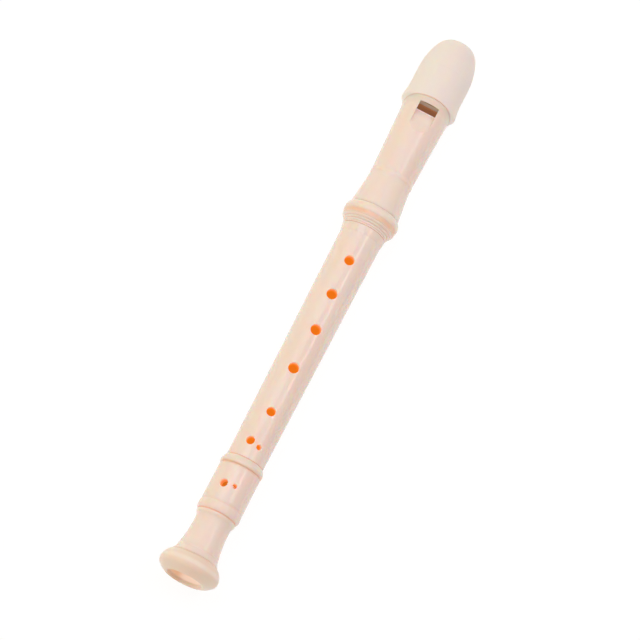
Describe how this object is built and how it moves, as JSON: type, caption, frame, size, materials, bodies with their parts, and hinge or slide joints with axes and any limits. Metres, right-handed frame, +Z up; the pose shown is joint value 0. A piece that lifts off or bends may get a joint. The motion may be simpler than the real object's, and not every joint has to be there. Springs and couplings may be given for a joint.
{
  "type": "soprano recorder",
  "caption": "School recorder in head, middle and foot joints that pull apart and turn on their tenons, with a beak, window, finger holes and a flared bell.",
  "frame": {"origin": "under the middle of the instrument's length, on the plane that the bell rim touches when it lies flat with its bore level", "axes": "+X along the bore towards the mouthpiece, +Z up out of the finger holes, +Y to the left when the holes face the viewer and the mouthpiece is at the top"},
  "size_m": [0.33, 0.033, 0.033],
  "materials": {
    "ivory_plastic": "glossy translucent pinkish ivory, moulded",
    "cap_plastic": "satin pale ivory, moulded",
    "bell_plastic": "soft gloss pale ivory, moulded",
    "block_plastic": "matte grey-white, moulded"
  },
  "bodies": {
    "middle": {"middle_joint": "ivory_plastic"},
    "head_ring": {"head_ring": "ivory_plastic"},
    "head": {"head_tube": "ivory_plastic", "block": "block_plastic", "mouthpiece": "cap_plastic"},
    "foot_ring": {"foot_ring": "ivory_plastic"},
    "foot": {"foot_joint": "ivory_plastic", "bell_ring": "bell_plastic"}
  },
  "joints": [
    {"name": "head_pull", "type": "slide", "parent": "middle", "child": "head_ring", "axis": [1, 0, 0], "range_m": [0, 0.03]},
    {"name": "head_turn", "type": "hinge", "parent": "head_ring", "child": "head", "pos_m": [0.0545, 0, 0.0165], "axis": [1, 0, 0], "continuous": true},
    {"name": "foot_pull", "type": "slide", "parent": "middle", "child": "foot_ring", "axis": [-1, 0, 0], "range_m": [0, 0.02]},
    {"name": "foot_turn", "type": "hinge", "parent": "foot_ring", "child": "foot", "pos_m": [-0.0993, 0, 0.0165], "axis": [1, 0, 0], "continuous": true}
  ]
}
